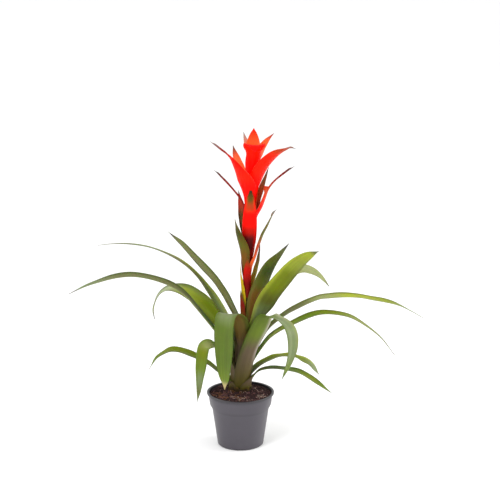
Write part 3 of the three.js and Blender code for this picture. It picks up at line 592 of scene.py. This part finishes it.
def blade(name, spec, line, least, half_width, upper, under, finishes, seed):
    """One leaf, bract or scale. It starts as a flat grid, and every row of it is laid along an arc: round the
    stem where the blade wraps it, and a shallow gutter further out."""
    points, shares, length = measured(smooth_line(line), least)
    dice = random.Random(seed)
    waves = dice.uniform(*WAVE_COUNTS)
    phase = dice.uniform(0, math.tau)
    along = spec["along"]
    bm = bmesh.new()
    bm.loops.layers.uv.new("Blade")
    bmesh.ops.create_grid(bm, x_segments=spec["across"], y_segments=along, size=0.5, calc_uvs=True)
    upper_paint = bm.verts.layers.float_color.new("Upper")
    under_paint = bm.verts.layers.float_color.new("Under")
    rows = {}
    for vert in bm.verts:
        rows.setdefault(round((vert.co.y + 0.5) * along), []).append(vert)
    for row, verts in rows.items():
        share = row / along
        middle = place_on(points, shares, share)
        before = place_on(points, shares, max(share - HEADING_STEP, 0))
        after = place_on(points, shares, min(share + HEADING_STEP, 1))
        heading = math.atan2(after.x - before.x, after.y - before.y)
        tangent = Vector((math.sin(heading), 0, math.cos(heading)))
        roll = Matrix.Rotation(math.radians(spec["twist"]) * ease(*spec["roll"], share), 3, tangent)
        swing = Matrix.Rotation(math.radians(spec["swing"]) * ease(*spec["swings"], share), 3, "Z")
        inward = roll @ Vector((-math.cos(heading), 0, math.sin(heading)))
        sideways = roll @ Vector((0, 1, 0))
        opened = spec["bow"] * ease(spec["opens"], spec["opens"] + OPENING_RUN, share)
        radius = min(max(middle.x, opened), spec["bow"])
        curl = ease(spec["thread"] - THREAD_RUN, spec["thread"], share)
        radius = mix(radius, THREAD_RADIUS, curl)
        half = half_width(share, length)
        spread = min(half / radius, math.radians(mix(spec["wrap"], THREAD_WRAP, curl)))
        ruffle = spec["ruffle"] * ease(*RUFFLE_START, share) * min(half / RUFFLE_HALF_WIDTH, 1)
        groove = spec["groove"] * min(half / GROOVE_HALF_WIDTH, 1)
        for vert in verts:
            side = 2 * vert.co.x
            angle = spread * side
            wave = math.sin(math.tau * waves * share + phase + (WAVE_OFFSET if side > 0 else 0))
            lift = radius - radius * math.cos(angle)
            lift -= groove * math.exp(-((side / GROOVE_WIDTH) ** 2))
            lift += ruffle * side * side * wave
            bent = Vector((middle.x, 0, middle.y)) + inward * lift + sideways * radius * math.sin(angle)
            vert.co = swing @ bent
            vert[upper_paint] = (*upper(share, side), 1)
            vert[under_paint] = (*under(share, side), 1)
    bmesh.ops.reverse_faces(bm, faces=bm.faces)
    planted(bm, spec["turn"])
    piece = finished(name, bm, finishes)
    shell = piece.modifiers.new("Thickness", "SOLIDIFY")
    shell.thickness = spec["thickness"] * MM
    shell.offset = -1
    shell.material_offset = 1
    shell.material_offset_rim = 0
    return piece


def stem_rings():
    """The radius of each ring at its foot, the height of its foot, and how much it widens upwards."""
    rings = []
    radius = FIRST_RING_RADIUS
    for i in range(RING_COUNT):
        slope = mix(*RING_SLOPES, i / (RING_COUNT - 1))
        rings.append((radius, FIRST_RING_HEIGHT + i * RING_RISE, slope))
        radius += slope * RING_RISE - RING_THICKNESS - CLEARANCE
        radius -= sagitta(rings[-1][0], 2 * WIDEST_WRAP / SHEATH_FACETS)
    return rings


RINGS = stem_rings()


def grow_leaf(row, order):
    spec = dict(LEAF_FORM, **row)
    radius, foot, slope = RINGS[spec["ring"]]
    first_reach, first_height = spec["line"][0]

    def cone(height):
        return radius + slope * (height - foot)

    def least(height):
        return cone(height) if height < first_height else 0

    low, high = [mix(foot, first_height, place) for place in CONE_PLACES]
    upright = [(cone(foot), foot), (cone(low), low), (mix(cone(high), first_reach, CONE_LEAVING), high)]
    line = upright + spec["line"]
    sheath_half = max(radius * math.radians(spec["wrap"]), LEAST_SHEATH * spec["width"])

    def neck_at(length):
        neck = NECK_PER_SHEATH * (first_height - foot) / length
        return min(max(neck, NECK_SHARES[0]), NECK_SHARES[1])

    def half_width(share, length):
        neck = neck_at(length)
        blade_half = spec["width"] / 2 * stepped(spec["shape"], (share - neck) / (1 - neck))
        return max(mix(blade_half, sheath_half, 1 - ease(NECK_START, neck, share)), TIP_HALF_WIDTH)

    neck = neck_at(measured(smooth_line(line), lambda height: 0)[2])
    mauve, green = [neck * place for place in spec["mauve"]]

    def skin(paints):
        stops = [(0, "olive brown"), (mauve, "mauve brown")] + evenly(paints, green, PAINTS_END)
        return edged(stops + evenly(spec["tip"], TIP_START, 1), spec["margins"])

    piece = blade(spec["name"] + "_blade", spec, line, least, half_width, skin(spec["upper"]),
                  skin(spec["under"]), (LEAF_UPPER, LEAF_UNDER), order)
    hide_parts(spec["name"])
    return piece


def grow_scale(order):
    """One dry scale round the plant's foot."""
    dice = random.Random(SCALE_SEED + order)
    width = dice.uniform(*SCALE_WIDTH)
    top = dice.uniform(*SCALE_TOP)
    flare = dice.uniform(*SCALE_FLARE)
    first = dice.choice(SCALE_PAINTS)
    second = dice.choice(SCALE_PAINTS)
    turn = (order + dice.uniform(-SCALE_STRAY, SCALE_STRAY)) / SCALE_COUNT * 360
    spec = dict(SCALE_FORM, turn=turn)
    line = [
        (SCALE_RING, SCALE_FOOT),
        (SCALE_RING + SCALE_BULGE, mix(SCALE_FOOT, top, 0.5)),
        (SCALE_RING + flare, top),
    ]

    def half_width(share, length):
        return width / 2 * stepped(spec["shape"], share)

    skin = edged([(0, "dark brown"), (0.5, first), (1, second)], ())
    piece = blade(f"scale_{order + 1:02d}", spec, line, lambda height: 0, half_width, skin, skin,
                  (LEAF_UPPER, LEAF_UNDER), SCALE_SEED + order)
    return piece


def grow_bract(row, order):
    spec = dict(BRACT_FORM, **row)
    foot = FIRST_BRACT_HEIGHT + order * BRACT_SPACING
    root = STALK_RADIUS + CLEARANCE + sagitta(STALK_RADIUS + 1, 2 * BRACT_WRAP / BRACT_FACETS)
    low = mix(foot, spec["line"][0][1], BRACT_LEAVING)

    def cone(height):
        return root + BRACT_SLOPE * (height - foot)

    def half_width(share, length):
        half = spec["width"] / 2 * stepped(spec["shape"], share)
        curl = ease(spec["thread"] - THREAD_RUN, spec["thread"], share) * (1 - ease(THREAD_END, 1, share))
        return max(half, THREAD_RADIUS * math.radians(THREAD_WRAP) * curl, TIP_HALF_WIDTH)

    name = f"bract_{order + 1:02d}"
    inner = edged(evenly(spec["inner"]), spec["margins"])
    outer = edged(evenly(spec["outer"]), spec["margins"])
    piece = blade(name + "_blade", spec, [(root, foot), (cone(low), low)] + spec["line"], cone, half_width,
                  inner, outer, (BRACT_INNER, BRACT_OUTER), BRACT_SEED + order)
    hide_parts(name)
    return piece


def fill(tree, node, inputs):
    """Sets a node's inputs, each to a value or to what comes out of another node."""
    for key, value in inputs.items():
        if isinstance(value, bpy.types.NodeSocket):
            tree.links.new(value, node.inputs[key])
        else:
            node.inputs[key].default_value = value
    return node


def add_node(tree, kind, inputs, operation=None):
    made = tree.nodes.new("ShaderNode" + kind)
    if operation:
        made.operation = operation
    return fill(tree, made, inputs)


def math_node(tree, operation, first, second):
    return add_node(tree, "Math", {0: first, 1: second}, operation).outputs[0]


def noise_node(tree, vector, scale, detail):
    return add_node(tree, "TexNoise", {"Vector": vector, "Scale": scale, "Detail": detail}).outputs["Fac"]


def raised_by(tree, height, strength, distance):
    inputs = {"Height": height, "Strength": strength, "Distance": distance}
    return add_node(tree, "Bump", inputs).outputs[0]


GRAIN_STRENGTHS = ("Vein Strength", "Stripe Strength", "Blotch Strength")


def grain_group():
    """Fine veins and broad stripes down a blade, with soft blotches over it. Tone is near 1, and Relief is
    for a bump."""
    group = bpy.data.node_groups.new("blade grain", "ShaderNodeTree")
    for name in ("Veins", *GRAIN_STRENGTHS):
        group.interface.new_socket(name=name, in_out="INPUT", socket_type="NodeSocketFloat")
    for name in ("Tone", "Relief"):
        group.interface.new_socket(name=name, in_out="OUTPUT", socket_type="NodeSocketFloat")
    given = group.nodes.new("NodeGroupInput")
    uv = add_node(group, "UVMap", {})
    uv.uv_map = "Blade"
    split = add_node(group, "SeparateXYZ", {0: uv.outputs["UV"]})
    place = add_node(group, "TexCoord", {})

    def streaks(across, along, detail):
        x = math_node(group, "MULTIPLY", split.outputs["X"], across)
        y = math_node(group, "MULTIPLY", split.outputs["Y"], along)
        stretched = add_node(group, "CombineXYZ", {"X": x, "Y": y})
        return noise_node(group, stretched.outputs[0], 1, detail)

    veins = streaks(given.outputs["Veins"], along=3, detail=2)
    stripes = streaks(across=7, along=1.6, detail=1)
    blotches = noise_node(group, place.outputs["Object"], scale=45, detail=3)
    total = 1
    for pattern, strength in zip((veins, stripes, blotches), GRAIN_STRENGTHS):
        swing = math_node(group, "SUBTRACT", pattern, 0.5)
        swing = math_node(group, "MULTIPLY", swing, given.outputs[strength])
        total = math_node(group, "ADD", swing, total)
    fill(group, group.nodes.new("NodeGroupOutput"), {"Tone": total, "Relief": veins})
    return group


GRAIN = grain_group()


def new_finish(name):
    """A new material, its node tree and its shader."""
    finish = bpy.data.materials.new(name)
    finish.use_nodes = True
    return finish, finish.node_tree, finish.node_tree.nodes["Principled BSDF"]


def blade_finish(name, attribute, roughness, veins, strengths, bump, gloss, soft, glow):
    """The skin of one face of a leaf or bract, coloured by an attribute. Light goes a little way into it, in
    the colour `glow`."""
    finish, tree, skin = new_finish(name)
    colour = add_node(tree, "Attribute", {})
    colour.attribute_name = attribute
    grain = add_node(tree, "Group", {})
    grain.node_tree = GRAIN
    fill(tree, grain, {"Veins": veins, **dict(zip(GRAIN_STRENGTHS, strengths))})
    relief = grain.outputs["Relief"]
    tone = grain.outputs["Tone"]
    toned = add_node(tree, "VectorMath", {0: colour.outputs["Color"], "Scale": tone}, "SCALE")
    fill(tree, skin, {
        "Base Color": toned.outputs[0],
        "Roughness": math_node(tree, "ADD", math_node(tree, "MULTIPLY", relief, 0.16), roughness - 0.08),
        "Normal": raised_by(tree, relief, bump, distance=0.4 * MM),
        "Specular IOR Level": gloss,
        "Subsurface Weight": soft,
        "Subsurface Radius": glow,
        "Subsurface Scale": 4 * MM,
    })
    return finish


def noisy_finish(name, dark, light, scale, roughness, bump, distance, gloss=0.2, spread=0.15):
    """A finish whose colour, gloss and relief all follow one noise on the piece."""
    finish, tree, skin = new_finish(name)
    place = add_node(tree, "TexCoord", {})
    grain = noise_node(tree, place.outputs["Object"], scale, detail=4)
    ramp = add_node(tree, "ValToRGB", {"Fac": grain})
    for i, (position, colour) in enumerate(((0.5 - spread, dark), (0.5 + spread, light))):
        ramp.color_ramp.elements[i].position = position
        ramp.color_ramp.elements[i].color = (*paint(colour), 1)
    fill(tree, skin, {
        "Base Color": ramp.outputs["Color"],
        "Roughness": math_node(tree, "ADD", math_node(tree, "MULTIPLY", grain, 0.15), roughness - 0.07),
        "Normal": raised_by(tree, grain, bump, distance * MM),
        "Specular IOR Level": gloss,
    })
    return finish


def shade_pot(finish):
    """Paints shade on the pot: darkens its inner wall and lip, the bands under the lip and at the step, and
    its foot.
    """
    tree = finish.node_tree
    skin = tree.nodes["Principled BSDF"]
    colour = skin.inputs["Base Color"].links[0].from_socket
    place = add_node(tree, "TexCoord", {})
    split = add_node(tree, "SeparateXYZ", {0: place.outputs["Object"]})
    height = split.outputs["Z"]
    bands = add_node(tree, "ValToRGB", {"Fac": math_node(tree, "DIVIDE", height, POT_SHADE_SPAN)})
    stops = bands.color_ramp.elements
    for level, tone in POT_SHADE_TONES:
        stops.new(level * MM / POT_SHADE_SPAN).color = (tone, tone, tone, 1)
    for stop in (stops[0], stops[-1]):
        stop.color = (POT_INSIDE_SHADE, POT_INSIDE_SHADE, POT_INSIDE_SHADE, 1)
    flat = add_node(tree, "CombineXYZ", {"X": split.outputs["X"], "Y": split.outputs["Y"]})
    reach = add_node(tree, "VectorMath", {0: flat.outputs[0]}, "LENGTH").outputs["Value"]
    rise = math_node(tree, "SUBTRACT", height, POT_BAND_FOOT * MM)
    inner = math_node(tree, "ADD", math_node(tree, "MULTIPLY", rise, POT_FLARE), POT_BAND_RADIUS * MM)
    below = math_node(tree, "LESS_THAN", height, POT_BAND_FOOT * MM)
    outside = math_node(tree, "MAXIMUM", math_node(tree, "GREATER_THAN", reach, inner), below)
    tone = math_node(tree, "ADD", math_node(tree, "MULTIPLY", outside, 1 - POT_INSIDE_SHADE), POT_INSIDE_SHADE)
    # the painted shade multiplies the pot's own colour
    for factor in (bands.outputs["Color"], tone):
        colour = add_node(tree, "VectorMath", {0: colour, 1: factor}, "MULTIPLY").outputs[0]
    fill(tree, skin, {"Base Color": colour})


LEAF_SKIN = dict(strengths=(0.3, 0.5, 0.25), gloss=0.16, soft=0.12, glow=(0.4, 1, 0.15))
BRACT_SKIN = dict(strengths=(0.2, 0.2, 0.12), roughness=0.48, veins=30, bump=0.4, gloss=0.06, soft=0.2,
                  glow=(1, 0.1, 0.05))
LEAF_UPPER = blade_finish("leaf upper face", "Upper", roughness=0.4, veins=46, bump=0.5, **LEAF_SKIN)
LEAF_UNDER = blade_finish("leaf underside", "Under", roughness=0.45, veins=60, bump=0.6, **LEAF_SKIN)
BRACT_INNER = blade_finish("bract inner face", "Upper", **BRACT_SKIN)
BRACT_OUTER = blade_finish("bract outer face", "Under", **BRACT_SKIN)

# Noisy finishes: two paints, the scale of their noise, roughness, and the relief's strength and depth
POT_PLASTIC = noisy_finish("pot plastic", "pot dark", "pot light", 22, 0.42, 0.12, 0.2, gloss=0.5, spread=0.3)
shade_pot(POT_PLASTIC)
SOIL_MIX = noisy_finish("potting mix", "black soil", "brown soil", 420, 0.9, 0.8, 0.8)
BARK_CRUMB = noisy_finish("bark crumbs", "black soil", "bark", 300, 0.85, 0.6, 0.4)
PALE_FLECK = noisy_finish("pale flecks", "bark", "fleck", 500, 0.85, 0.6, 0.3)
DRY_FIBRE = noisy_finish("dry fibre", "brown", "rust", 400, 0.7, 0.4, 0.3)
STEM_FIBRE = noisy_finish("stem fibre", "dark brown", "olive brown", 300, 0.7, 0.6, 0.4)


def spun(outline, steps):
    """A closed outline of (radius, height) points in millimetres, turned into a solid."""
    bm = bmesh.new()
    corners = [bm.verts.new((radius * MM, 0, height * MM)) for radius, height in outline]
    edges = [bm.edges.new(pair) for pair in zip(corners, corners[1:])]
    bmesh.ops.spin(bm, geom=corners + edges, cent=(0, 0, 0), axis=UP, angle=math.tau, steps=steps,
                   use_merge=True)
    bmesh.ops.remove_doubles(bm, verts=bm.verts, dist=1e-6)
    bmesh.ops.recalc_face_normals(bm, faces=bm.faces)
    return bm


def worked_out(piece):
    """The mesh of an object with its modifiers or its curves worked out."""
    bpy.context.view_layer.update()
    return bpy.data.meshes.new_from_object(piece.evaluated_get(bpy.context.evaluated_depsgraph_get()))


def carved(piece, cutters):
    """Cuts the cutters out of a piece, for good."""
    for cutter in cutters:
        cut = piece.modifiers.new("Cut", "BOOLEAN")
        cut.operation = "DIFFERENCE"
        cut.solver = "EXACT"
        cut.object = cutter
    mesh = worked_out(piece)
    piece.modifiers.clear()
    piece.data = mesh
    for cutter in cutters:
        bpy.data.objects.remove(cutter)


def make_pot():
    piece = finished("pot_shell", spun(POT_OUTLINE, POT_STEPS), [POT_PLASTIC])
    cutters = []
    for i in range(DRAIN_COUNT):
        angle = (i + 0.5) / DRAIN_COUNT * math.tau
        bm = bmesh.new()
        bmesh.ops.create_cone(bm, cap_ends=True, segments=32, radius1=DRAIN_RADIUS, radius2=DRAIN_RADIUS,
                              depth=DRAIN_DEPTH)
        moved(bm, (DRAIN_RING * math.cos(angle), DRAIN_RING * math.sin(angle), 0))
        in_metres(bm)
        cutters.append(finished("drain_cutter", bm, []))
    for i in range(NOTCH_COUNT):
        bm = bmesh.new()
        bmesh.ops.create_cube(bm, size=1)
        bmesh.ops.scale(bm, verts=bm.verts, vec=(NOTCH_DEPTH, NOTCH_WIDTH, 2 * NOTCH_HEIGHT))
        moved(bm, (BASE_RADIUS, 0, 0))
        turned(bm, (i / NOTCH_COUNT - 0.25) * math.tau, "Z")
        in_metres(bm)
        cutters.append(finished("notch_cutter", bm, []))
    carved(piece, cutters)
    piece.data.set_sharp_from_angle(angle=POT_SHARP_ANGLE)
    soften = piece.modifiers.new("Soft edges", "BEVEL")
    soften.width = POT_BEVEL * MM
    soften.segments = 2
    soften.limit_method = "ANGLE"
    soften.angle_limit = POT_BEVEL_ANGLE
    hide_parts("pot")
    return piece


def soil_height(x, y):
    """The height of the soil's own surface: nearly flat, with a low mound round the plant."""
    away = math.hypot(x - ROOT_X, y - PLANT_FOOT.y)
    mound = MOUND_RISE * (1 - ease(MOUND_TOP, MOUND_FOOT, away))
    clods = sum(noise.noise(Vector((x, y, level)) / size) * rise for size, rise, level in SOIL_CLODS)
    return SOIL_EDGE_HEIGHT + mound + clods * (1 - ease(*CLODS_END, math.hypot(x, y))) - SOIL_SINK


def make_soil():
    outline = [(0, FLOOR_HEIGHT)] + SOIL_WALL
    outline += [(SOIL_RADIUS * i / SOIL_RINGS, SOIL_EDGE_HEIGHT) for i in range(SOIL_RINGS, -1, -1)]
    bm = spun(outline, SOIL_STEPS)
    for vert in bm.verts:
        if vert.co.z > (SOIL_EDGE_HEIGHT - 0.01) * MM:
            vert.co.z = soil_height(vert.co.x / MM, vert.co.y / MM) * MM
    piece = finished("soil_bed", bm, [SOIL_MIX])
    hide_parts("soil")
    return piece


def crumb_shapes(dice, facets):
    """A few lumps of unit size to copy from."""
    shapes = []
    for _ in range(CRUMB_SHAPES):
        bm = bmesh.new()
        bmesh.ops.create_icosphere(bm, subdivisions=facets, radius=0.5)
        for vert in bm.verts:
            vert.co *= 1 + CRUMB_DENT * dice.uniform(-1, 1)
        shape = bpy.data.meshes.new("crumb_shape")
        bm.to_mesh(shape)
        bm.free()
        shapes.append(shape)
    return shapes


def scatter(name, finish, count, sizes, seed, facets=2, middle=(0, 0), spread=1):
    """Lumps pressed a little into the soil, each squeezed and turned its own way. A `spread` under 1 draws
    their places in towards `middle`."""
    dice = random.Random(seed)
    shapes = crumb_shapes(dice, facets)
    bm = bmesh.new()
    for _ in range(count):
        radius = (SOIL_RADIUS - CRUMB_EDGE) * math.sqrt(dice.random())
        angle = dice.uniform(0, math.tau)
        x = mix(middle[0], radius * math.cos(angle), spread)
        y = mix(middle[1], radius * math.sin(angle), spread)
        size = dice.uniform(*sizes)
        squeeze = Matrix.Diagonal([dice.uniform(*span) for span in CRUMB_SQUEEZES] + [1])
        tilt = Matrix.Rotation(dice.uniform(-CRUMB_TILT, CRUMB_TILT), 4, "X")
        spin = Matrix.Rotation(dice.uniform(0, math.tau), 4, "Z")
        shape = dice.choice(shapes)
        if math.hypot(x - ROOT_X, y - PLANT_FOOT.y) < PLANT_KEEP_OUT:
            continue
        place = Matrix.Translation(Vector((x, y, soil_height(x, y) + size * CRUMB_LIFT)) * MM)
        pose = place @ spin @ tilt @ squeeze @ Matrix.Scale(size * MM, 4)
        shape.transform(pose)
        bm.from_mesh(shape)
        shape.transform(pose.inverted())
    for shape in shapes:
        bpy.data.meshes.remove(shape)
    piece = finished(name, bm, [finish], smooth=False)
    return piece


def lay_fibres(name, finish, count, lengths, radius, seed, middle, spread):
    """Thin root and bark fibres lying on the soil, up to `spread` from `middle`."""
    dice = random.Random(seed)
    strands = bpy.data.curves.new(name, "CURVE")
    strands.dimensions = "3D"
    strands.bevel_depth = radius * MM
    strands.bevel_resolution = 1
    strands.resolution_u = 3
    for _ in range(count):
        away = spread * math.sqrt(dice.random())
        angle = dice.uniform(0, math.tau)
        x = middle[0] + away * math.cos(angle)
        y = middle[1] + away * math.sin(angle)
        heading = dice.uniform(0, math.tau)
        step = dice.uniform(*lengths) / (FIBRE_KNOTS - 1)
        path = []
        for _ in range(FIBRE_KNOTS):
            clear = math.hypot(x - ROOT_X, y - PLANT_FOOT.y) > PLANT_KEEP_OUT - 1
            if clear and math.hypot(x, y) < SOIL_RADIUS - FIBRE_EDGE:
                rise = FIBRE_LIFTS[0] + radius + dice.uniform(0, FIBRE_LIFTS[1])
                path.append((x, y, soil_height(x, y) + rise))
            x += step * math.cos(heading)
            y += step * math.sin(heading)
            heading += dice.uniform(-FIBRE_BEND, FIBRE_BEND)
        if len(path) < 3:
            continue
        strand = strands.splines.new("BEZIER")
        strand.bezier_points.add(len(path) - 1)
        for knot, place in zip(strand.bezier_points, path):
            knot.co = Vector(place) * MM
            knot.handle_left_type = "AUTO"
            knot.handle_right_type = "AUTO"
    sketch = placed(name, strands)
    mesh = worked_out(sketch)
    bpy.data.objects.remove(sketch)
    mesh.materials.clear()
    mesh.materials.append(finish)
    piece = placed(name, mesh)
    return piece


def stage_floor():
    bm = bmesh.new()
    bmesh.ops.create_grid(bm, x_segments=1, y_segments=1, size=FLOOR_SIZE)
    white = noisy_finish("studio floor", "floor", "floor light", 4, 0.7, 0, 0, gloss=0.1)
    floor = finished("studio_floor", bm, [white])


def soft_light(name, place, power):
    data = bpy.data.lights.new(name, "AREA")
    data.shape = "DISK"
    data.size = LIGHT_SIZE
    data.energy = power
    lamp = placed(name, data)
    lamp.location = place
    lamp.rotation_euler = (LIGHT_AIM - Vector(place)).to_track_quat("-Z", "Y").to_euler()


def studio():
    scene = bpy.context.scene
    scene.view_settings.view_transform = "Standard"
    scene.world = bpy.data.worlds.new("studio")
    scene.world.use_nodes = True
    sky = scene.world.node_tree.nodes["Background"]
    sky.inputs["Color"].default_value = (1, 1, 1, 1)
    sky.inputs["Strength"].default_value = WORLD_STRENGTH
    for name, (place, power) in LIGHTS.items():
        soft_light(name, place, power)
    data = bpy.data.cameras.new("camera")
    data.lens = CAMERA_LENS
    data.sensor_width = CAMERA_SENSOR
    camera = placed("camera", data)
    camera.location = CAMERA_PLACE * MM
    camera.rotation_euler = (math.radians(90 - CAMERA_TILT), 0, 0)
    scene.camera = camera


pieces = [grow_leaf(row, order) for order, row in enumerate(LEAVES)]
pieces += [grow_bract(row, order) for order, row in enumerate(BRACTS)]
pieces += [grow_scale(order) for order in range(SCALE_COUNT)]
pieces += [
    make_pot(),
    make_soil(),
    scatter("soil_crumbs", SOIL_MIX, count=1100, sizes=(1.4, 3.6), seed=3),
    scatter("bark_crumbs", BARK_CRUMB, count=420, sizes=(1.2, 4.2), seed=4),
    scatter("pale_flecks", PALE_FLECK, count=60, sizes=(0.8, 2), seed=5, facets=1),
    scatter("left_bark", BARK_CRUMB, count=90, sizes=(1.5, 4.5), seed=6, middle=(-34, -26), spread=0.25),
    lay_fibres("dry_fibres", DRY_FIBRE, count=30, lengths=(6, 20), radius=0.35, seed=7,
               middle=(-16, -16), spread=24),
    lay_fibres("pale_fibres", PALE_FLECK, count=40, lengths=(5, 16), radius=0.3, seed=8,
               middle=(14, -12), spread=34),
]
for piece in pieces:
    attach(piece, "root")
for material_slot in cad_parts["stem"].material_slots:
    material_slot.material = STEM_FIBRE

stage_floor()
studio()
